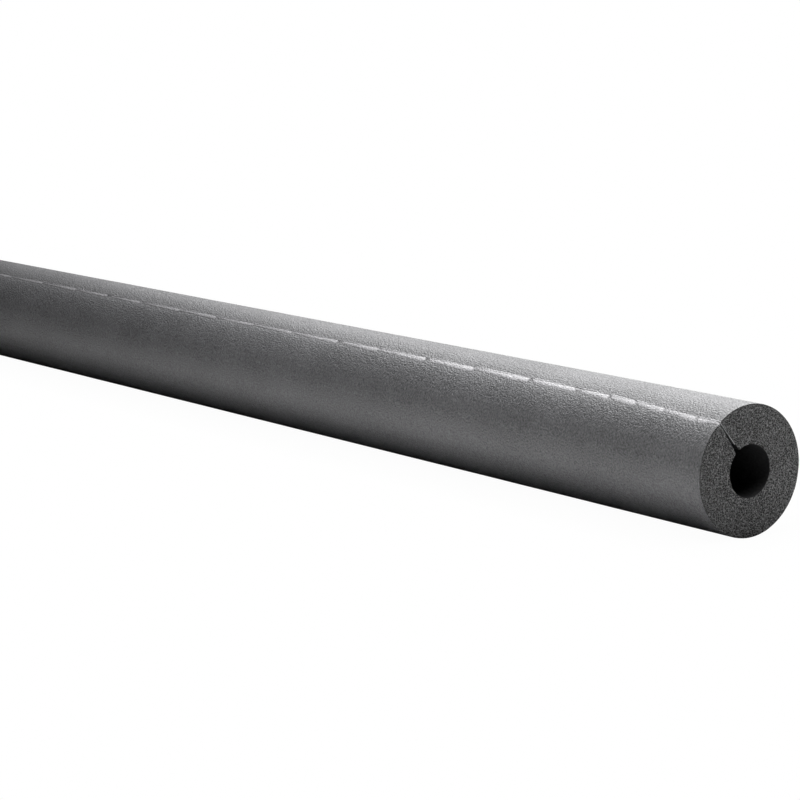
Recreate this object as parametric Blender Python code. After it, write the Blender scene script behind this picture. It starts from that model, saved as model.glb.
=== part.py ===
"""Split foam lagging for a 28 mm pipe: a 1 m length, lying on the floor.

The tube lies along X, with its slit in the upper side that faces -Y. The origin is on the floor,
under the middle of the tube. Everything is in metres, and Z is up.
"""

import math

import bmesh
import bpy
from mathutils import Vector

# The tube, named in the trade by its bore and its wall: 28 mm bore and a 20 mm class of wall.
LENGTH = 1.0
BORE_DIAMETER = 0.028
WALL = 0.021
FACETS = 64

# The slit, from the bore out through the skin. It gapes a little at the bore.
SLIT_GAP_AT_SKIN = 0.0009
SLIT_GAP_AT_BORE = 0.0016

# The slit's place round from the top, towards -Y: 31 degrees. At 5.5 facets, a facet lies flat on the floor.
SLIT_ANGLE = 5.5 * 2 * math.pi / FACETS
# Over the last stretch to the +X end the knife ran off further round, faster and faster.
WANDER_ANGLE = math.radians(7.6)
WANDER_LENGTH = 0.15
WANDER_STEPS = 6

# The liner is a thin strip on the upper face of the slit. Its outer edge is folded over the other lip.
LINER_THICKNESS = 0.0003
LINER_DEPTH = 0.0165
LINER_FOLD_WIDTH = 0.0016
SEAT = 0.0003

BORE_RADIUS = BORE_DIAMETER / 2
OUTER_RADIUS = BORE_RADIUS + WALL
AXIS_HEIGHT = OUTER_RADIUS * math.cos(math.pi / FACETS)


def clear_scene():
    for obj in list(bpy.data.objects):
        bpy.data.objects.remove(obj, do_unlink=True)


def plain_material(name, colour, roughness):
    material = bpy.data.materials.new(name)
    material.use_nodes = True
    shader = material.node_tree.nodes["Principled BSDF"]
    shader.inputs["Base Color"].default_value = (*colour, 1.0)
    shader.inputs["Roughness"].default_value = roughness
    shader.inputs["Metallic"].default_value = 0.0
    return material


def on_circle(radius, angle):
    """A point of the section, with the slit at angle 0, straight up, and +Y at a quarter turn."""
    return Vector((radius * math.sin(angle), radius * math.cos(angle)))


def ring_points(radius, gap):
    """The points round a circle from the slit's +Y lip to its -Y lip, on the facets' corners."""
    lip = math.asin(gap / 2 / radius)
    step = 2 * math.pi / FACETS
    corners = [lip, *(number * step for number in range(1, FACETS)), 2 * math.pi - lip]
    return [on_circle(radius, angle) for angle in corners]


def foam_outline():
    """The C of the cut end: once round the skin, through the slit, and back round the bore."""
    skin = ring_points(OUTER_RADIUS, SLIT_GAP_AT_SKIN)
    bore = ring_points(BORE_RADIUS, SLIT_GAP_AT_BORE)
    return skin + bore[::-1]


def liner_outline():
    """A blade down the slit's +Y face, with its top edge folded over the -Y lip."""
    face_at_skin = Vector((SLIT_GAP_AT_SKIN / 2, OUTER_RADIUS))
    face_at_bore = Vector((SLIT_GAP_AT_BORE / 2, BORE_RADIUS))
    down = (face_at_bore - face_at_skin).normalized()
    inward = Vector((down.y, -down.x))
    near_face = face_at_skin + inward * SEAT
    off_face = face_at_skin + inward * (SEAT + LINER_THICKNESS)

    under_fold = OUTER_RADIUS + SEAT
    over_fold = under_fold + LINER_THICKNESS
    fold_start = off_face.x
    fold_end = fold_start - LINER_FOLD_WIDTH
    # The fold follows the round of the skin, so its free edge lies lower than its root.
    drop = OUTER_RADIUS - math.sqrt(OUTER_RADIUS**2 - fold_end**2)
    return [
        near_face + down * LINER_DEPTH,
        off_face + down * LINER_DEPTH,
        Vector((fold_start, under_fold)),
        Vector((fold_end, under_fold - drop)),
        Vector((fold_end, over_fold - drop)),
        Vector((near_face.x, over_fold)),
    ]


def wander(x):
    """How much further round the slit lies at this place along the tube."""
    along = max(0.0, 1 - (LENGTH / 2 - x) / WANDER_LENGTH)
    return WANDER_ANGLE * along**2


def stations():
    """The places along the tube where the section is set: the far end, and close together in the wander."""
    step = WANDER_LENGTH / WANDER_STEPS
    first = LENGTH / 2 - WANDER_LENGTH
    return [-LENGTH / 2, *(first + number * step for number in range(WANDER_STEPS + 1))]


def put_in_place(point):
    """Turns a point of the straight, upright sweep to where it lies on the tube.

    Only the half of the tube with the slit follows the knife, so the half on the floor stays straight.
    """
    radius = math.hypot(point.y, point.z)
    from_slit = math.atan2(point.y, point.z)
    follows = max(0.0, math.cos(from_slit))
    from_top = from_slit - SLIT_ANGLE - wander(point.x) * follows
    return Vector((point.x, radius * math.sin(from_top), AXIS_HEIGHT + radius * math.cos(from_top)))


def sweep(name, outline, material, collection):
    """Extrudes a closed outline from end to end of the tube, then turns it to follow the slit."""
    mesh = bmesh.new()
    places = stations()
    corners = [mesh.verts.new((places[0], point.x, point.y)) for point in outline]
    far_end = mesh.faces.new(corners)
    rim = list(far_end.edges)
    for here, there in zip(places, places[1:]):
        grown = bmesh.ops.extrude_edge_only(mesh, edges=rim)["geom"]
        moved = [item for item in grown if isinstance(item, bmesh.types.BMVert)]
        rim = [edge for edge in grown if isinstance(edge, bmesh.types.BMEdge) and edge.is_boundary]
        bmesh.ops.translate(mesh, vec=(there - here, 0, 0), verts=moved)
    bmesh.ops.edgeloop_fill(mesh, edges=rim)
    for vert in mesh.verts:
        vert.co = put_in_place(vert.co)
    bmesh.ops.recalc_face_normals(mesh, faces=mesh.faces)

    data = bpy.data.meshes.new(name)
    mesh.to_mesh(data)
    mesh.free()
    data.materials.append(material)
    data.shade_smooth()
    data.set_sharp_from_angle(angle=math.radians(30))
    obj = bpy.data.objects.new(name, data)
    collection.objects.link(obj)
    return obj


def main():
    clear_scene()
    collection = bpy.data.collections.new("pipe_lagging")
    bpy.context.scene.collection.children.link(collection)
    foam = plain_material("grey_polyethylene_foam", (0.085, 0.085, 0.088), 0.6)
    film = plain_material("release_film", (0.62, 0.61, 0.63), 0.35)
    sweep("foam_tube", foam_outline(), foam, collection)
    sweep("seam_liner", liner_outline(), film, collection)


main()
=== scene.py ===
# %% [markdown]
# # A length of split pipe lagging
#
# Pipe lagging is a tube of grey polyethylene foam that snaps round a heating or water pipe through a
# slit along its side. This one is a metre long, with a 28 mm bore and a wall of about 21 mm. Its skin
# is satin and finely pebbled, its ends are cut square through the foam's cells, and a thin pale
# release film lines the slit and shows as a crinkled bright line along the tube.
#
# The tube lies along X, Z is up, the slit is in the upper side that faces -Y, and everything is in
# metres. The solid model of the tube is loaded first. It fixes where each surface has to be.

# %% Load the solid model
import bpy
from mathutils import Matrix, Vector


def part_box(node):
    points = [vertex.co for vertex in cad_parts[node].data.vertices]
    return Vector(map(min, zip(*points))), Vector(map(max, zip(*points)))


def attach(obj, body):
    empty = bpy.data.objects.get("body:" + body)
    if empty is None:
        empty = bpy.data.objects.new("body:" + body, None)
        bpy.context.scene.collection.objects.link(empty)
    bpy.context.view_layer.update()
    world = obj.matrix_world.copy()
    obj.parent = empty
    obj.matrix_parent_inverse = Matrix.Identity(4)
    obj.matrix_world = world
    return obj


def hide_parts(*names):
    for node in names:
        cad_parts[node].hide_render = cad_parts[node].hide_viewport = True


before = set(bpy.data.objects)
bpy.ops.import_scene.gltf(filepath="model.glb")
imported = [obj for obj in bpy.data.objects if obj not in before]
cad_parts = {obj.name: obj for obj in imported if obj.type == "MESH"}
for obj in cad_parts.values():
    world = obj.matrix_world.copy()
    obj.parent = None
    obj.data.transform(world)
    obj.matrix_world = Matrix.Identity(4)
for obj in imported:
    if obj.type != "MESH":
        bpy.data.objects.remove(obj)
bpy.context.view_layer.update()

import math

import bmesh
import bpy
from mathutils import Vector

MM = 0.001
low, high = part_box("foam_tube")
TUBE_LENGTH = high.x - low.x
print("solid tube:", [round(side / MM, 1) for side in high - low], "mm")

# %% [markdown]
# ## Sizes that the foam and the film share
#
# The slit isn't straight. For most of the length it lies 31 degrees round from the top, and over the
# last 150 mm the knife ran off, faster and faster, to seven and a half degrees more. At the skin its
# faces are pressed together on the film, and towards the bore they part. The film is pulled tight over
# one lip and has drawn it in, so the skin dips towards the slit there. The film has to follow the same
# lines, so both pieces take these values.

# %% The tube's own measures
BORE_RADIUS = 14 * MM
SKIN_RADIUS = 35 * MM
SLIT_ANGLE = math.radians(30.94)
WANDER_ANGLE = math.radians(7.6)
WANDER_LENGTH = 150 * MM
GAP_AT_SKIN = 0.7 * MM
GAP_AT_BORE = 2.6 * MM
LIP_DIP = 0.7 * MM
LIP_DIP_WIDTH = 2.3 * MM
LIP_STEP_WIDTH = 0.2 * MM
print("wall:", round((SKIN_RADIUS - BORE_RADIUS) / MM, 1), "mm")

# %% [markdown]
# ## Sums made of nodes
#
# Both pieces are made by Geometry Nodes, and their finishes by shader nodes. In the node editor a node
# is added, its settings are chosen, and its inputs are linked or typed in. Two helpers do that here.

# %% Adding a node and feeding it


def feed(tree, socket, value):
    """Gives a socket its value: another node's output, or a plain number, text or colour."""
    if isinstance(value, Number):
        value = value.socket
    if isinstance(value, bpy.types.NodeSocket):
        tree.links.new(value, socket)
    else:
        socket.default_value = value


def node(tree, kind, inputs=None, **settings):
    """Adds a node with its settings, and feeds its inputs by their names or numbers."""
    made = tree.nodes.new(kind)
    for setting, value in settings.items():
        setattr(made, setting, value)
    for name, value in (inputs or {}).items():
        feed(tree, made.inputs[name], value)
    return made


# %% [markdown]
# Both kinds of tree do their sums with the same Math node, so one small class serves both. It holds a
# node's output, and lets Python's own signs make the Math nodes: `radius * turn.sin()` adds two nodes
# and their links.

# %% A number that is a node's output


class Number:
    """A node's output that can stand in a sum."""

    def __init__(self, tree, socket):
        self.tree = tree
        self.socket = socket

    def calc(self, operation, *others):
        made = node(self.tree, "ShaderNodeMath", operation=operation)
        for socket, value in zip(made.inputs, (self, *others)):
            feed(self.tree, socket, value)
        return Number(self.tree, made.outputs[0])

    def __add__(self, other):
        return self.calc("ADD", other)

    def __sub__(self, other):
        return self.calc("SUBTRACT", other)

    def __mul__(self, other):
        return self.calc("MULTIPLY", other)

    def __truediv__(self, other):
        return self.calc("DIVIDE", other)

    def __pow__(self, other):
        return self.calc("POWER", other)

    __radd__ = __add__
    __rmul__ = __mul__

    def __rsub__(self, other):
        return (self * -1) + other

    def sin(self):
        return self.calc("SINE")

    def cos(self):
        return self.calc("COSINE")

    def over(self, limit):
        """1 where the number is more than the limit, and 0 elsewhere."""
        return self.calc("GREATER_THAN", limit)

    def ramp(self, low, high, start=0.0, end=1.0):
        """Goes smoothly from start to end as the number goes from low to high."""
        made = node(
            self.tree,
            "ShaderNodeMapRange",
            {"Value": self, "From Min": low, "From Max": high, "To Min": start, "To Max": end},
            interpolation_type="SMOOTHSTEP",
        )
        return Number(self.tree, made.outputs[0])


# %% [markdown]
# A vector, such as a place, is taken apart into three such numbers and put together again.

# %% Numbers from nodes, and vectors


def number(made, output=0):
    """The output of a node, as a Number of that node's tree."""
    return Number(made.id_data, made.outputs[output])


def split(tree, vector):
    """The X, Y and Z of a vector."""
    made = node(tree, "ShaderNodeSeparateXYZ", {0: vector})
    return [number(made, axis) for axis in range(3)]


def join(tree, x, y, z):
    """A vector of three numbers."""
    return node(tree, "ShaderNodeCombineXYZ", {0: x, 1: y, 2: z}).outputs[0]


# %% [markdown]
# ## The table, the light and the camera
#
# A table that is white to the eye would throw too much light back under the tube. So the table and the
# room are white only where the camera looks straight at them, by the Light Path node, and they light
# the tube as a grey table in a dim room.
#
# The view transform is Standard, because the filmic ones would turn the white table grey.

# %% One look for the camera, another for the light
scene = bpy.context.scene
scene.view_settings.view_transform = "Standard"
scene.view_settings.look = "None"
print("view transform:", scene.view_settings.view_transform)


def white_to_the_camera(tree, seen, otherwise, output):
    """Shows the camera one shader, and all other rays another one."""
    path = node(tree, "ShaderNodeLightPath")
    looks = {0: path.outputs["Is Camera Ray"], 1: otherwise.outputs[0], 2: seen.outputs[0]}
    feed(tree, output.inputs["Surface"], node(tree, "ShaderNodeMixShader", looks).outputs[0])


# %% [markdown]
# Close under the tube an ambient occlusion node shades the table, hardly at all to the eye and steeply
# as a light, so the tube goes dark where it touches.

# %% The table
TABLE_SIZE = 80
TABLE_HEIGHT = -0.1 * MM
TABLE_BOUNCE = 0.755
CONTACT_SHADE = 0.03
CONTACT_REACH = 40 * MM
CONTACT_POWER = 2.2


def white_table():
    """A wide table top, just under the tube."""
    bpy.ops.mesh.primitive_plane_add(size=TABLE_SIZE, location=(0, 0, TABLE_HEIGHT))
    table = bpy.context.object
    table.name = "table"
    material = bpy.data.materials.new("white_table")
    material.use_nodes = True
    tree = material.node_tree
    tree.nodes.remove(tree.nodes["Principled BSDF"])
    open_sky = node(tree, "ShaderNodeAmbientOcclusion", {"Distance": CONTACT_REACH})
    openness = Number(tree, open_sky.outputs["AO"])
    brightness = openness * CONTACT_SHADE + (1 - CONTACT_SHADE)
    grey = node(tree, "ShaderNodeBsdfDiffuse", {"Color": openness**CONTACT_POWER * TABLE_BOUNCE})
    white = node(tree, "ShaderNodeEmission", {"Strength": brightness})
    white_to_the_camera(tree, white, grey, tree.nodes["Material Output"])
    table.data.materials.append(material)
    print("table:", len(tree.nodes), "nodes")


white_table()

# %% [markdown]
# The room is a world of one colour, because a picture of a real room would show in the satin skin.

# %% The room
ROOM_LIGHT = 0.03


def pale_room():
    """A world that is white to look at, and dim as a light."""
    world = bpy.data.worlds.new("pale_room")
    world.use_nodes = True
    tree = world.node_tree
    dim = tree.nodes["Background"]
    feed(tree, dim.inputs["Color"], (1, 1, 1, 1))
    feed(tree, dim.inputs["Strength"], ROOM_LIGHT)
    white = node(tree, "ShaderNodeBackground", {"Color": (1, 1, 1, 1)})
    white_to_the_camera(tree, white, dim, tree.nodes["World Output"])
    scene.world = world
    print("room:", len(tree.nodes), "nodes")


pale_room()

# %% [markdown]
# Grey foam is a dull thing to light. Flat light all round would turn the tube into a grey bar, so the
# shape has to come from small softboxes, close above and behind it. Their light grazes the satin skin
# towards the camera, so it runs from pale grey along the top to dark grey down the side, and it fades
# towards the far end, because the strongest of them hangs over the near one. The only softbox past the
# near end hangs high above it and just grazes the cut face, so the cut stays dark. Only the table's
# bounce lights the side that faces the camera.

# %% The softboxes
SOFTBOX_SIDE = 0.5


def softbox(name, place, aim, watts):
    """A square soft light that points at a place on the tube."""
    lamp = bpy.data.lights.new(name, "AREA")
    lamp.shape = "SQUARE"
    lamp.size = SOFTBOX_SIDE
    lamp.energy = watts
    light = bpy.data.objects.new(name, lamp)
    light.location = place
    light.rotation_mode = "QUATERNION"
    light.rotation_quaternion = (Vector(aim) - Vector(place)).to_track_quat("-Z", "Y")
    light.visible_camera = False
    scene.collection.objects.link(light)


softbox("softbox_over_near_end", (0.40, 0.14, 0.82), (0.36, 0, 0.035), 14.5)
softbox("softbox_past_near_end", (0.70, 0.14, 0.82), (0.63, 0, 0.035), 6.1)
softbox("softbox_behind_middle", (-0.2, 0.61, 0.55), (-0.18, 0, 0.035), 2.0)
softbox("softbox_behind_near_end", (0.2, 0.61, 0.55), (0.2, 0, 0.035), 4.2)
softbox("softbox_behind_far_end", (-0.6, 0.40, 0.73), (-0.54, 0, 0.035), 5.4)

# %% [markdown]
# The camera looks along the tube from beyond its near end, nine degrees down, through a long lens.
# The picture is square, and Blender takes the lens and the width of the sensor in millimetres.

# %% Place the camera
CAMERA_PLACE = Vector((1.4652, -0.9347, 0.2924))
CAMERA_AIM = Vector((-0.7938, 0.5859, -0.1634))
FOCAL_LENGTH = 119.4
SENSOR_WIDTH = 36

lens = bpy.data.cameras.new("long_lens")
lens.sensor_width = SENSOR_WIDTH
lens.lens = FOCAL_LENGTH
camera = bpy.data.objects.new("camera", lens)
camera.location = CAMERA_PLACE
camera.rotation_mode = "QUATERNION"
camera.rotation_quaternion = CAMERA_AIM.to_track_quat("-Z", "Y")
scene.collection.objects.link(camera)
scene.camera = camera
print("camera:", round(CAMERA_PLACE.length, 2), "m from the tube's middle")

# %% [markdown]
# ## Trees with named inputs
#
# A tree's sizes are named inputs, so that the same tree could make the lagging for another pipe. A
# modifier finds such an input by its identifier, not by its name, so one helper looks them up before
# the piece is first evaluated.

# %% Trees with named inputs, and how a piece is grown from one


def new_tree(name, inputs, kind="GeometryNodeTree", outputs=(("Mesh", "NodeSocketGeometry"),)):
    """A node tree with named inputs. It returns the tree, its inputs and its output node."""
    tree = bpy.data.node_groups.new(name, kind)
    for label, socket_type in inputs:
        tree.interface.new_socket(label, in_out="INPUT", socket_type=socket_type)
    for label, socket_type in outputs:
        tree.interface.new_socket(label, in_out="OUTPUT", socket_type=socket_type)
    source = tree.nodes.new("NodeGroupInput")
    given = {label: Number(tree, source.outputs[label]) for label, _ in inputs}
    return tree, given, tree.nodes.new("NodeGroupOutput")


def grow(name, tree, values, thickness=None):
    """Runs a geometry tree on a new object, thickens a sheet, and keeps the result as a plain mesh."""
    seedbed = bpy.data.objects.new(name + "_tree", bpy.data.meshes.new(name + "_seed"))
    scene.collection.objects.link(seedbed)
    modifier = seedbed.modifiers.new("grow", "NODES")
    modifier.node_group = tree
    for item in tree.interface.items_tree:
        if item.in_out == "INPUT":
            modifier[item.identifier] = values[item.name]
    if thickness:
        wall = seedbed.modifiers.new("thickness", "SOLIDIFY")
        wall.thickness = thickness
        wall.offset = 0.0
    evaluated = seedbed.evaluated_get(bpy.context.evaluated_depsgraph_get())
    mesh = bpy.data.meshes.new_from_object(evaluated)
    mesh.name = name
    bpy.data.objects.remove(seedbed, do_unlink=True)
    return mesh


# %% [markdown]
# ## Round the axis, and along the slit
#
# Every point of the foam and of the film is known by three numbers: how far along the tube it is, how
# far round from the slit, and how far out from the axis. A small tree turns the three into a place. It
# alone knows where the slit runs, so the film can't come out of the slit. The trees of both pieces use
# it, so its sizes are among the inputs of both.

# %% The sizes that both trees take
NUMBER = "NodeSocketFloat"
PLACE_INPUTS = (
    ("Tube length", NUMBER),
    ("Slit angle", NUMBER),
    ("Wander angle", NUMBER),
    ("Wander length", NUMBER),
    ("Axis height", NUMBER),
    ("Skin radius", NUMBER),
    ("Lip dip", NUMBER),
    ("Lip dip width", NUMBER),
    ("Lip step width", NUMBER),
)
SLIT_INPUTS = (
    *PLACE_INPUTS,
    ("Bore radius", NUMBER),
    ("Gap at bore", NUMBER),
    ("Gap at skin", NUMBER),
)
slit_sizes = {
    "Tube length": TUBE_LENGTH,
    "Slit angle": SLIT_ANGLE,
    "Wander angle": WANDER_ANGLE,
    "Wander length": WANDER_LENGTH,
    "Axis height": SKIN_RADIUS,
    "Skin radius": SKIN_RADIUS,
    "Lip dip": LIP_DIP,
    "Lip dip width": LIP_DIP_WIDTH,
    "Lip step width": LIP_STEP_WIDTH,
    "Bore radius": BORE_RADIUS,
    "Gap at bore": GAP_AT_BORE,
    "Gap at skin": GAP_AT_SKIN,
}
print("sizes that both trees take:", len(slit_sizes))

# %% [markdown]
# Only the side with the slit follows the knife. The turn fades with the cosine of the angle from the
# slit, so the half of the tube that lies on the table stays straight. The dip of the skin beside the
# slit is made here too, so that the film lies down into it.

# %% A tree that places a point by the slit
by_the_slit, given, result = new_tree(
    "place_by_the_slit",
    (("Along", NUMBER), ("Round", NUMBER), ("Out", NUMBER), *PLACE_INPUTS),
    outputs=(("Place", "NodeSocketVector"),),
)
to_the_end = given["Tube length"] * 0.5 - given["Along"]
ran_off = (1 - to_the_end / given["Wander length"]).calc("MAXIMUM", 0.0)
follows = given["Round"].cos().calc("MAXIMUM", 0.0)
from_top = given["Round"] - given["Slit angle"] - given["Wander angle"] * ran_off**2 * follows

# The dip is deepest at the slit and fades with the distance from it, and further in there is none.
from_slit = (given["Round"] / 2).sin() * given["Skin radius"] * 2
fading = (from_slit.calc("ABSOLUTE") / given["Lip dip width"] * -1).calc("EXPONENT")
near_skin = (given["Out"] / given["Skin radius"]) ** 6
# The lip that the film folds over is drawn in further than the other one.
across_slit = given["Round"].sin() * given["Skin radius"]
which_lip = across_slit.ramp(given["Lip step width"] * -1, given["Lip step width"], 1.0, 0.1)
sunk = given["Out"] - given["Lip dip"] * fading * near_skin * which_lip
place = join(
    by_the_slit,
    given["Along"],
    sunk * from_top.sin(),
    sunk * from_top.cos() + given["Axis height"],
)
feed(by_the_slit, result.inputs["Place"], place)
print("place_by_the_slit:", len(by_the_slit.nodes), "nodes")


def place_by_slit(tree, sizes, along, around, out):
    """Uses that tree inside another, which hands on its own sizes."""
    inputs = {"Along": along, "Round": around, "Out": out}
    inputs.update({label: sizes[label] for label, _ in PLACE_INPUTS})
    made = node(tree, "GeometryNodeGroup", node_tree=by_the_slit)
    for label, value in inputs.items():
        feed(tree, made.inputs[label], value)
    return made.outputs["Place"]


def gap_at(sizes, depth):
    """The slit's width, which opens more and more from the skin (depth 1) to the bore (depth 0)."""
    return sizes["Gap at skin"] + (1 - depth) ** 1.6 * (sizes["Gap at bore"] - sizes["Gap at skin"])


# %% [markdown]
# ## The foam tube
#
# A slit tube could be a pipe with a Boolean cut, but the cut would leave ragged faces just where the
# slit needs clean ones. A block has the same six sides as a slit tube, and bends into one: its top
# becomes the skin, its bottom the bore, two sides the slit's faces, and two the cut ends. So the tree
# starts with Blender's Cube of many points and gives each point its place. The mesh is closed from the
# start. The rows crowd towards the cut ends, where the eye looks first.

# %% A tree that bends a block into the tube
INTEGER = "NodeSocketInt"
MATERIAL = "NodeSocketMaterial"
foam_tree, given, result = new_tree(
    "bend_into_lagging",
    (
        *SLIT_INPUTS,
        ("Gap flare", NUMBER),
        ("Rows along", INTEGER),
        ("Points round", INTEGER),
        ("Layers deep", INTEGER),
        ("Crowding", NUMBER),
        ("Cell size", NUMBER),
        ("Pit depth", NUMBER),
        ("Unevenness", NUMBER),
        ("Seed", NUMBER),
        ("Skin", MATERIAL),
        ("Cut face", MATERIAL),
        ("Inside", MATERIAL),
    ),
)

block = node(
    foam_tree,
    "GeometryNodeMeshCube",
    {
        "Vertices X": given["Rows along"],
        "Vertices Y": given["Points round"],
        "Vertices Z": given["Layers deep"],
    },
)
block_x, block_y, block_z = split(foam_tree, node(foam_tree, "GeometryNodeInputPosition").outputs[0])
facing_x, _, facing_z = split(foam_tree, node(foam_tree, "GeometryNodeInputNormal").outputs[0])

# The share of the way runs from -1 to 1 along the tube, and the depth from 0 (bore) to 1 (skin).
share = block_x * 2
depth = block_z + 0.5
half_length = given["Tube length"] * 0.5
crowded = (share * (math.pi / 2)).sin() * given["Crowding"] + share * (1 - given["Crowding"])
along = crowded * half_length
radius = depth * (given["Skin radius"] - given["Bore radius"]) + given["Bore radius"]

# The gap flares where the knife broke through into the bore.
gap = gap_at(given, depth) + (1 - depth) ** 8 * given["Gap flare"]
lip = (gap / radius / 2).calc("ARCSINE")
around = lip + (block_y + 0.5) * (2 * math.pi - lip * 2)

smooth_place = place_by_slit(foam_tree, given, along, around, radius)
print("a bent block:", len(foam_tree.nodes), "nodes so far")

# %% [markdown]
# Foam is never quite even. The skin swells and sinks by some hundredths of a millimetre, over a hand's
# breadth and over a finger's, and that is enough to make the softboxes' streaks waver.

# %% The skin's unevenness
BROAD_SWELL = 60 * MM
NARROW_SWELL = 14 * MM
RIM_ROUNDING = 0.12 * MM


def foam_noise(size, detail=2.0):
    """A soft random field from about -1 to 1, with features of about this size."""
    made = node(
        foam_tree,
        "ShaderNodeTexNoise",
        {"Vector": smooth_place, "W": given["Seed"], "Scale": 1 / size, "Detail": detail},
        noise_dimensions="4D",
    )
    return (number(made) - 0.5) * 3


# The walls under the skin go along with it.
swell = (foam_noise(BROAD_SWELL) + foam_noise(NARROW_SWELL) * 0.35) * given["Unevenness"]
is_end = share.calc("ABSOLUTE").over(0.999)
rim = is_end * depth.over(0.999)
out = radius + swell * depth**3 - rim * RIM_ROUNDING
print("with its unevenness:", len(foam_tree.nodes), "nodes so far")

# %% [markdown]
# A knife through foam opens the cells in its way, so the cut ends are pitted. A 3-D Voronoi pattern
# stands for the cells, and its slice at the end tells how deep each pit is. The pits stop at the skin,
# which is denser than the foam under it.

# %% The pits of the cut ends
KNIFE_WAVE = 9 * MM
KNIFE_WAVE_DEPTH = 0.12 * MM
RIM_SETBACK = 0.1 * MM

_, end_y, end_z = split(foam_tree, smooth_place)
slice_place = join(foam_tree, half_length * share.calc("SIGN"), end_y, end_z)
cell_scale = given["Cell size"] ** -1
cell_walls = node(
    foam_tree,
    "ShaderNodeTexVoronoi",
    {"Vector": slice_place, "Scale": cell_scale},
    feature="DISTANCE_TO_EDGE",
)
cells = node(
    foam_tree,
    "ShaderNodeTexVoronoi",
    {"Vector": slice_place, "Scale": cell_scale},
    feature="F1",
)
cell_luck, _, _ = split(foam_tree, cells.outputs["Color"])
pit = number(cell_walls).ramp(0.02, 0.3) * (cell_luck * 0.9 + 0.35) * given["Pit depth"]
pit = pit * depth.ramp(0.95, 1.0, 1.0, 0.1)
waves = foam_noise(KNIFE_WAVE) * KNIFE_WAVE_DEPTH
cut_back = is_end * (pit + waves + rim * RIM_SETBACK)
pitted_along = along - share.calc("SIGN") * cut_back

placed = place_by_slit(foam_tree, given, pitted_along, around, out)
px, py, pz = split(foam_tree, placed)
# Nothing reaches under the table top: the soft foam lies flat there.
on_table = join(foam_tree, px, py, pz.calc("MAXIMUM", 0.0))
print("with its pits:", len(foam_tree.nodes), "nodes so far")

# %% [markdown]
# The block's own faces tell what each face has become, and that decides its finish. The row's number
# is stored too, because the rows inside the bore are thinned out later by it.

# %% Finish the foam's tree
row = (block_x + 0.5) * (given["Rows along"] - 1)
on_cut = facing_x.calc("ABSOLUTE").over(0.5)
# 0 is the skin, 1 a cut end, and 2 the bore or a face of the slit.
side = on_cut + (1 - on_cut) * (1 - facing_z.over(0.5)) * 2
with_row = node(
    foam_tree,
    "GeometryNodeStoreNamedAttribute",
    {"Geometry": block.outputs["Mesh"], "Name": "row", "Value": row.calc("ROUND")},
    data_type="INT",
    domain="POINT",
)
with_side = node(
    foam_tree,
    "GeometryNodeStoreNamedAttribute",
    {"Geometry": with_row.outputs[0], "Name": "side", "Value": side},
    data_type="INT",
    domain="FACE",
)
bent = node(
    foam_tree, "GeometryNodeSetPosition", {"Geometry": with_side.outputs[0], "Position": on_table}
)
smooth = node(foam_tree, "GeometryNodeSetShadeSmooth", {"Geometry": bent.outputs[0]})
made_real = node(foam_tree, "GeometryNodeRealizeInstances", {"Geometry": smooth.outputs[0]})
side_is = node(foam_tree, "GeometryNodeInputNamedAttribute", {"Name": "side"}, data_type="INT")
side_number = number(side_is)
painted = made_real.outputs[0]
for number_of_side, label in enumerate(("Skin", "Cut face", "Inside")):
    chosen = side_number.calc("COMPARE", float(number_of_side), 0.1)
    painted = node(
        foam_tree,
        "GeometryNodeSetMaterial",
        {"Geometry": painted, "Selection": chosen, "Material": given[label]},
    ).outputs[0]
feed(foam_tree, result.inputs["Mesh"], painted)
print("bend_into_lagging:", len(foam_tree.nodes), "nodes")

# %% [markdown]
# ## The release film
#
# The film is a strip less than a fifth of a millimetre thick. It is stuck to one face of the slit,
# comes out at the skin in a small bead, and is folded over the other lip. The rollers that closed the
# tube nipped it every few centimetres, so the fold runs in short lengths that overlap like shingles.
# Seen from the far end, each starts narrow, drifts across the lip, widens, and ends at a crumpled nip.
#
# It could be a curve with a bevelled section, but a section can't change from length to length. So the
# foam's trick serves again: a flat grid of many points, and each gets its place. Across the grid lie the
# blade in the slit and then the fold. The Solidify modifier gives the sheet its thickness afterwards.

# %% A flat grid for the film
FILM_THICKNESS = 0.16 * MM
BLADE_SHARE = 0.125
film_tree, given, result = new_tree(
    "fold_film_over_slit",
    (
        *SLIT_INPUTS,
        ("Depth in slit", NUMBER),
        ("Thickness", NUMBER),
        ("Bead width", NUMBER),
        ("Fold width", NUMBER),
        ("Fold height", NUMBER),
        ("Proud length", NUMBER),
        ("First nip", NUMBER),
        ("Nip pitch", NUMBER),
        ("Close nips", NUMBER),
        ("Far nip pitch", NUMBER),
        ("Nip slant", NUMBER),
        ("Drift", NUMBER),
        ("Crumple", NUMBER),
        ("Rows along", INTEGER),
        ("Points across", INTEGER),
        ("Seed", NUMBER),
        ("Film", MATERIAL),
    ),
)
sheet = node(
    film_tree,
    "GeometryNodeMeshGrid",
    {
        "Size X": 1.0,
        "Size Y": 1.0,
        "Vertices X": given["Rows along"],
        "Vertices Y": given["Points across"],
    },
)
sheet_x, sheet_y, _ = split(film_tree, node(film_tree, "GeometryNodeInputPosition").outputs[0])
along = sheet_x * given["Tube length"]
from_end = given["Tube length"] * 0.5 - along
across = sheet_y + 0.5
in_slit = (across / BLADE_SHARE).calc("MINIMUM", 1.0)
fold = ((across - BLADE_SHARE) / (1 - BLADE_SHARE)).calc("MAXIMUM", 0.0)
print("a flat sheet:", len(film_tree.nodes), "nodes so far")


def film_noise(size, seed_step=0.0):
    """A soft random number from about -1 to 1 that changes along the film."""
    place = join(film_tree, along, given["Seed"] + seed_step, 0.0)
    made = node(film_tree, "ShaderNodeTexNoise", {"Vector": place, "Scale": 1 / size, "Detail": 1.0})
    return (number(made) - 0.5) * 3


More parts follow.
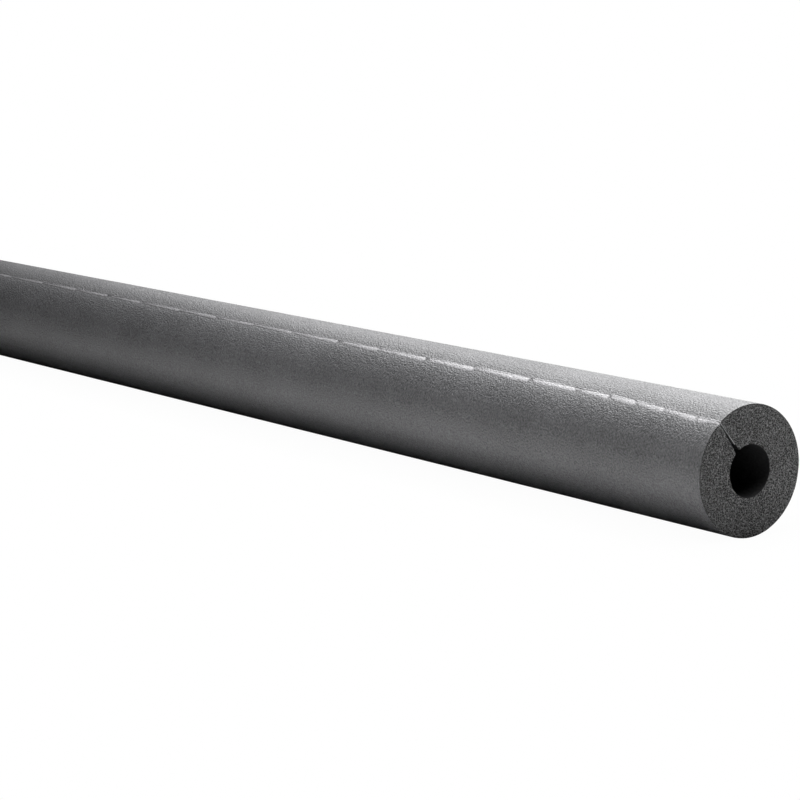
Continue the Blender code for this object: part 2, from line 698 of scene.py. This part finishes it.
# %% [markdown]
# A running number counts the nips from the near end. Its whole part is a nip's number, from which each
# nip draws its luck, and its fraction tells where between two nips a point is. The nips are close
# together near the end and further apart beyond, and they lie slanting across the fold, because the
# film was dragged a little.

# %% Nips and lengths
nip_place = from_end + fold * given["Nip slant"] - given["First nip"]
close_nips = nip_place.calc("MINIMUM", given["Close nips"]) / given["Nip pitch"]
far_nips = (nip_place - given["Close nips"]).calc("MAXIMUM", 0.0) / given["Far nip pitch"]
running = close_nips + far_nips + film_noise(70 * MM) * 0.2
part = running.calc("FRACT")
luck = number(
    node(
        film_tree,
        "ShaderNodeTexWhiteNoise",
        {"W": running.calc("FLOOR") + given["Seed"]},
        noise_dimensions="1D",
    )
)
past_first = running.over(-0.06)
nip = part.ramp(0.86, 0.97) + part.ramp(0.02, 0.07, 1.0, 0.0)
strength = (luck * 1.6 - 0.45).calc("MAXIMUM", 0.08).calc("MINIMUM", 1.0)
nip = nip.calc("MINIMUM", 1.0) * past_first * strength

# 0.5 at the near nip of each length, and -0.5 at the far one.
shingle = (0.5 - part) * past_first
# Towards the far end of the tube the fold is pressed flatter.
proud = from_end.ramp(given["Proud length"] * 0.4, given["Proud length"], 1.0, 0.6)
print("with its nips:", len(film_tree.nodes), "nodes so far")

# %% [markdown]
# The fold's width and height change along the tube. Both shrink in the nips and towards the cut end,
# and soft noise makes them waver in between.

# %% The fold's width and height
END_CURL = 1.5 * MM
END_TAPER = 14 * MM

end_curl = from_end.ramp(0.0, END_CURL)
# The free edge is ragged, in long waves and in short ones.
ragged = film_noise(11 * MM, 3.0) * 0.15 + film_noise(3 * MM, 5.0) * 0.12
fold_width = given["Fold width"] * from_end.ramp(0.0, END_TAPER, 0.5, 1.0) * proud * (1 - nip * 0.6)
fold_width = fold_width * (ragged + shingle * 0.4 + 1)
height = given["Fold height"] * (1 - nip * 0.8) * proud * end_curl
height = height * (film_noise(8 * MM, 7.0) * 0.2 + shingle * 0.4 + 1)
print("with its width and height:", len(film_tree.nodes), "nodes so far")

# %% [markdown]
# The section of the fold is made of two humps. A short one pushes the film out over the lip that it is
# stuck to, as a bead. A long one lifts it fast and lets it down slowly over the other lip, so that its
# free edge ends just under the skin. A fold that came down steeply would face away from the lights, and
# it would draw a dark line along the tube.

# %% The section of the fold
BEAD_RISE = 0.128 * MM
EDGE_SINK = 0.22 * MM
END_TUCK = 0.36 * MM
WRINKLE_PITCH = 2.4 * MM
WRINKLE_SLANT = 2 * MM


def over_first(share):
    """Goes straight from 0 to 1 over the first share of the fold, and stays at 1."""
    return fold.calc("MINIMUM", share) / share


# The bead's hump is 1 at its peak, and the lift's 0.8.
bead = fold * (1 - fold) ** 5 * 14.9
lift = fold.ramp(0.05, 0.35) * (1 - fold) * 1.25

blade_depth = given["Depth in slit"] * (1 - in_slit)
wall_share = 1 - blade_depth / (given["Skin radius"] - given["Bore radius"])
blade_side = (gap_at(given, wall_share) - given["Thickness"]) * 0.5
bead_out = bead * given["Bead width"] * proud * (1 - nip * 0.7)
drift = given["Drift"] * shingle * over_first(0.2)
sideways = blade_side + bead_out - fold_width * fold - drift

wave = (from_end + fold * WRINKLE_SLANT) * (2 * math.pi / WRINKLE_PITCH)
crumple = (wave + luck * 6).sin() * nip * over_first(0.4) * given["Crumple"]
outward = (
    given["Skin radius"]
    - blade_depth
    + lift * height
    + over_first(0.08) * BEAD_RISE * end_curl
    - fold * EDGE_SINK
    - (1 - end_curl) * over_first(0.3) * END_TUCK
    + crumple
)
# The film bridges the step between the lips, so it gets a wider one than the foam.
film_sizes = {**given, "Lip step width": given["Fold width"]}
placed = place_by_slit(film_tree, film_sizes, along, sideways / outward, outward)
print("folded:", len(film_tree.nodes), "nodes so far")

# %% [markdown]
# The finish has to know two things of each point. Clearness is how well the film shows on its foam. It
# fades towards the free edge, in the nips and down in the slit. Painted daylight is painted shade: it
# darkens the film's colour where next to no light gets, down in the slit, except at the cut ends, where
# the film's edge shows as a thin light line. The tree knows where all that is, so it stores both as
# attributes.

# %% Finish the film's tree
clearness = fold.ramp(0.25, 1.0, 1.0, 0.0) * (shingle * 0.4 + 0.8) * (1 - nip * 0.6) * proud
clearness = clearness * (in_slit.ramp(0.8, 0.95, 0.3, 1.0) + in_slit.ramp(0.3, 0.6, 0.6, 0.0))
from_cut = given["Tube length"] * 0.5 - along.calc("ABSOLUTE")
at_the_cut = from_cut.ramp(0.2 * MM, 1.2 * MM, 1.0, 0.0)
# Painted shade for the film down in the slit, lifted near the cut ends.
painted_daylight = in_slit.ramp(0.85, 1.0, 0.1, 1.0).calc("MAXIMUM", at_the_cut)
marked = sheet.outputs["Mesh"]
for label, value in (("clearness", clearness), ("painted_daylight", painted_daylight)):
    marked = node(
        film_tree,
        "GeometryNodeStoreNamedAttribute",
        {"Geometry": marked, "Name": label, "Value": value},
        data_type="FLOAT",
        domain="POINT",
    ).outputs[0]
bent = node(film_tree, "GeometryNodeSetPosition", {"Geometry": marked, "Position": placed})
smooth = node(film_tree, "GeometryNodeSetShadeSmooth", {"Geometry": bent.outputs[0]})
made_real = node(film_tree, "GeometryNodeRealizeInstances", {"Geometry": smooth.outputs[0]})
painted = node(
    film_tree,
    "GeometryNodeSetMaterial",
    {"Geometry": made_real.outputs[0], "Material": given["Film"]},
)
feed(film_tree, result.inputs["Mesh"], painted.outputs[0])
print("fold_film_over_slit:", len(film_tree.nodes), "nodes")

# %% [markdown]
# ## The finishes
#
# Foam has three faces here. The skin was formed against a die and is satin, with a fine pebble. The
# cut ends show open cells: thin walls that catch the light round dark pits, and that light and shade
# are painted into their colour. The bore and the slit are painted darker still, as painted shade,
# because little light gets in. All three have the same grain and slow clouds of tone, which show
# through the film too. So the grain and the clouds are one node group, with its own values in each
# material.

# %% A node group for grain and clouds


def tint(tree, colour, amount):
    """A colour times a number."""
    return number(node(tree, "ShaderNodeVectorMath", {0: colour, "Scale": amount}, operation="SCALE"))


grain_group, given, result = new_tree(
    "foam_grain",
    (
        ("Place", "NodeSocketVector"),
        ("Tone", "NodeSocketColor"),
        ("Grain size", NUMBER),
        ("Grain contrast", NUMBER),
        ("Cloud size", NUMBER),
        ("Cloud contrast", NUMBER),
        ("Grain height", NUMBER),
    ),
    kind="ShaderNodeTree",
    outputs=(("Color", "NodeSocketColor"), ("Height", NUMBER)),
)
grain = node(
    grain_group,
    "ShaderNodeTexNoise",
    {"Vector": given["Place"], "Scale": given["Grain size"] ** -1, "Detail": 1.0, "Roughness": 0.6},
)
pebbles = node(
    grain_group,
    "ShaderNodeTexVoronoi",
    {"Vector": given["Place"], "Scale": (given["Grain size"] * 1.3) ** -1, "Smoothness": 0.6},
    feature="SMOOTH_F1",
)
clouds = node(
    grain_group,
    "ShaderNodeTexNoise",
    {"Vector": given["Place"], "Scale": given["Cloud size"] ** -1, "Detail": 3.0},
)
speck = (number(grain) - 0.5) * 2
cloud = (number(clouds) - 0.5) * 2
shade = speck * given["Grain contrast"] + cloud * given["Cloud contrast"] + 1
tinted = tint(grain_group, given["Tone"], shade.calc("MAXIMUM", 0.0))
feed(grain_group, result.inputs["Color"], tinted)
bumps = (0.5 - number(pebbles)) * 0.5 + speck
feed(grain_group, result.inputs["Height"], bumps * given["Grain height"])
print("foam_grain:", len(grain_group.nodes), "nodes")

# %% [markdown]
# Each finish starts the same way: a Principled BSDF, and the object's own coordinates, moved so that
# their middle is the tube's axis. The pattern is then part of the foam, and stays with it.

# %% How a finish is started


def new_finish(name, colour, roughness):
    """A material. It returns the material, its tree, its shader and the place on the tube."""
    material = bpy.data.materials.new(name)
    material.use_nodes = True
    tree = material.node_tree
    shader = tree.nodes["Principled BSDF"]
    shader.inputs["Base Color"].default_value = (*colour, 1)
    shader.inputs["Roughness"].default_value = roughness
    on_object = node(tree, "ShaderNodeTexCoord").outputs["Object"]
    from_axis = {"Vector": on_object, "Location": (0, 0, -SKIN_RADIUS)}
    return material, tree, shader, node(tree, "ShaderNodeMapping", from_axis).outputs[0]


def foam_grain(tree, here, colour, size, contrast, clouds, cloud_contrast, height):
    """The grain group with its values. It returns the grained colour and the bumps' height."""
    values = {
        "Place": here,
        "Tone": (*colour, 1),
        "Grain size": size,
        "Grain contrast": contrast,
        "Cloud size": clouds,
        "Cloud contrast": cloud_contrast,
        "Grain height": height,
    }
    made = node(tree, "ShaderNodeGroup", node_tree=grain_group)
    for label, value in values.items():
        feed(tree, made.inputs[label], value)
    return number(made, 0), number(made, 1)


def raise_bumps(tree, shader, height):
    """Feeds a height in metres to the shader as a bump."""
    bump = node(tree, "ShaderNodeBump", {"Distance": 1.0, "Height": height})
    feed(tree, shader.inputs["Normal"], bump.outputs[0])


# %% [markdown]
# The skin is finished first. It is satin, so the softboxes streak it, and the pebbles break the streak.

# %% Foam skin
SKIN_GREY = (0.085, 0.085, 0.088)
foam_skin, tree, shader, here = new_finish("foam_skin", SKIN_GREY, 0.5)
colour, height = foam_grain(
    tree,
    here,
    SKIN_GREY,
    size=1.0 * MM,
    contrast=1.2,
    clouds=45 * MM,
    cloud_contrast=0.25,
    height=0.26 * MM,
)
feed(tree, shader.inputs["Base Color"], colour)
raise_bumps(tree, shader, height)
print("foam_skin:", len(tree.nodes), "nodes")

# %% [markdown]
# A cut cell shows as a dark pit, and the cut walls between the pits catch the light. The finish looks
# up the same slice through the same cells as the pits of the mesh, so that the two agree, and paints a
# highlight on the walls and shade in the pits. The fine grain on top is made strong, because the walls
# are thinner than any mesh row.

# %% Cut cells
CUT_GREY = (0.0198, 0.0198, 0.02)
CELL_SIZE = 1.15 * MM
foam_cut, tree, shader, here = new_finish("foam_cut_cells", CUT_GREY, 0.75)
here_x, here_y, here_z = split(tree, here)
slice_here = join(tree, here_x.calc("SIGN") * (TUBE_LENGTH / 2), here_y, here_z + SKIN_RADIUS)
walls = node(
    tree,
    "ShaderNodeTexVoronoi",
    {"Vector": slice_here, "Scale": 1 / CELL_SIZE},
    feature="DISTANCE_TO_EDGE",
)
# Painted highlight on the cell walls and painted shade in the pits: 1 on a wall, 0 in a pit's middle.
wall_light = number(walls).ramp(0.0, 0.28, 1.0, 0.0)
colour, height = foam_grain(
    tree,
    here,
    CUT_GREY,
    size=1.0 * MM,
    contrast=3.0,
    clouds=12 * MM,
    cloud_contrast=0.3,
    height=0.1 * MM,
)
# Painted shade: the cut's colour is darker in a thin ring just inside the skin.
from_middle = (here_y * here_y + here_z * here_z).calc("SQRT")
rim_shade = from_middle.ramp(SKIN_RADIUS - 1.0 * MM, SKIN_RADIUS - 0.4 * MM, 1.0, 0.4)
# The colour takes the painted wall highlight, the painted pit shade and the painted rim shade.
feed(tree, shader.inputs["Base Color"], tint(tree, colour, wall_light * rim_shade * 3.3))
raise_bumps(tree, shader, height + wall_light * (0.3 * MM))
print("foam_cut_cells:", len(tree.nodes), "nodes")

# %% [markdown]
# The bore looks black in daylight, because it is narrow and rough and each bounce loses most of the
# light. A few bounces in a render lose less, so the foam inside is painted darker than the skin, as
# painted shade, and has hardly any shine.

# %% Inside of the bore and the slit
# Painted shade: the bore and the slit's faces get a much darker grey than the skin.
INSIDE_SHADE_GREY = (0.011, 0.011, 0.0115)
foam_inside, tree, shader, here = new_finish("foam_inside", INSIDE_SHADE_GREY, 0.8)
shader.inputs["Specular IOR Level"].default_value = 0.1
colour, height = foam_grain(
    tree,
    here,
    INSIDE_SHADE_GREY,
    size=1.4 * MM,
    contrast=0.6,
    clouds=20 * MM,
    cloud_contrast=0.3,
    height=0.1 * MM,
)
feed(tree, shader.inputs["Base Color"], colour)
raise_bumps(tree, shader, height)
print("foam_inside:", len(tree.nodes), "nodes")

# %% [markdown]
# The film is clear polyethylene gone milky. Where it stands free of the foam it is pale, and where it
# is pressed flat the grey and the grain of the foam show through. So the finish starts with the foam's
# own grain and mixes the milky grey into it by the clearness that the film's tree has stored. A soft
# noise breaks the line up, and the stored painted daylight paints shade on what is down in the slit.

# %% Release film
FILM_GREY = (0.355, 0.351, 0.362)
FILM_ON_FOAM = (0.095, 0.094, 0.098)
release_film, tree, shader, here = new_finish("release_film", FILM_GREY, 0.45)
colour, height = foam_grain(
    tree,
    here,
    FILM_ON_FOAM,
    size=1.0 * MM,
    contrast=1.2,
    clouds=45 * MM,
    cloud_contrast=0.25,
    height=0.19 * MM,
)
patches = node(tree, "ShaderNodeTexNoise", {"Vector": here, "Scale": 1 / (0.9 * MM), "Detail": 1.0})
clearness = number(node(tree, "ShaderNodeAttribute", attribute_name="clearness"), "Fac")
patchy = clearness * number(patches).ramp(0.3, 0.7, 0.5, 1.3)
milky = node(
    tree,
    "ShaderNodeMix",
    {"Factor": patchy, "A": colour, "B": (*FILM_GREY, 1)},
    data_type="RGBA",
)
painted_daylight = number(node(tree, "ShaderNodeAttribute", attribute_name="painted_daylight"), "Fac")
# Painted shade: the stored painted daylight darkens the film's colour down in the slit.
feed(tree, shader.inputs["Base Color"], tint(tree, milky.outputs["Result"], painted_daylight))
raise_bumps(tree, shader, height)
print("release_film:", len(tree.nodes), "nodes")

# %% [markdown]
# ## The pieces
#
# The foam gets two hundred rows and three hundred points round, enough for the pits and the dips.

# %% Grow the foam
foam_mesh = grow(
    "lagging_foam",
    foam_tree,
    {
        **slit_sizes,
        "Gap flare": 0.4 * MM,
        "Rows along": 200,
        "Points round": 301,
        "Layers deep": 49,
        "Crowding": 0.75,
        "Cell size": CELL_SIZE,
        "Pit depth": 0.4 * MM,
        "Unevenness": 0.06 * MM,
        "Seed": 4.0,
        "Skin": foam_skin,
        "Cut face": foam_cut,
        "Inside": foam_inside,
    },
)
print("foam, as bent:", len(foam_mesh.polygons), "faces")

# %% [markdown]
# A plain grid spends as many points on the bore and on the slit's faces, where nothing can be seen. So
# eleven rows of each twelve are dissolved there again, which leaves long faces and the same shape. The
# edges where the foam was cut are marked as sharp, because the eye would take a smooth one for a
# rounded one.

# %% Thin out the rows inside
KEPT_ROW_STEP = 12


def thin_out_inside(mesh, every):
    """Dissolves most of the rows on the bore and the slit's faces, which are straight and dark."""
    shape = bmesh.new()
    shape.from_mesh(mesh)
    row = shape.verts.layers.int["row"]
    side = shape.faces.layers.int["side"]
    last = max(vert[row] for vert in shape.verts)
    spare = [
        edge
        for edge in shape.edges
        if edge.verts[0][row] == edge.verts[1][row]
        and edge.verts[0][row] not in (0, last)
        and edge.verts[0][row] % every
        and all(face[side] == 2 for face in edge.link_faces)
    ]
    bmesh.ops.dissolve_edges(shape, edges=spare, use_verts=True)
    for edge in shape.edges:
        edge.smooth = len({face[side] for face in edge.link_faces}) == 1
    shape.to_mesh(mesh)
    shape.free()


thin_out_inside(foam_mesh, KEPT_ROW_STEP)
for label in ("row", "side"):
    foam_mesh.attributes.remove(foam_mesh.attributes[label])
foam_mesh.calc_loop_triangles()
print("foam, thinned:", len(foam_mesh.loop_triangles), "triangles")
foam = bpy.data.objects.new("lagging_foam", foam_mesh)
scene.collection.objects.link(foam)

# %% [markdown]
# The film needs many rows, because its nips are only a millimetre or two long, but few points across.

# %% Grow the film
film_mesh = grow(
    "folded_release_film",
    film_tree,
    {
        **slit_sizes,
        "Depth in slit": 16.5 * MM,
        "Thickness": FILM_THICKNESS,
        "Bead width": 1.05 * MM,
        "Fold width": 3.9 * MM,
        "Fold height": 0.13 * MM,
        "Proud length": 450 * MM,
        "First nip": 19 * MM,
        "Nip pitch": 23.5 * MM,
        "Close nips": 94 * MM,
        "Far nip pitch": 46 * MM,
        "Nip slant": 2.5 * MM,
        "Drift": 0.5 * MM,
        "Crumple": 0.18 * MM,
        "Rows along": 1801,
        "Points across": 25,
        "Seed": 11.0,
        "Film": release_film,
    },
    thickness=FILM_THICKNESS,
)
film_mesh.calc_loop_triangles()
print("film:", len(film_mesh.loop_triangles), "triangles")
film = bpy.data.objects.new("folded_release_film", film_mesh)
scene.collection.objects.link(film)

# %% [markdown]
# Both pieces take the place of the solid model's plain ones, and move with the tube's only body.

# %% Hand the pieces over
for piece, cad_node, material_slot in (
    (foam, "foam_tube", "foam"),
    (film, "seam_liner", "liner_film"),
):
    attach(piece, "root")
    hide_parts(cad_node)
    print(piece.name, "takes the place of", cad_node)
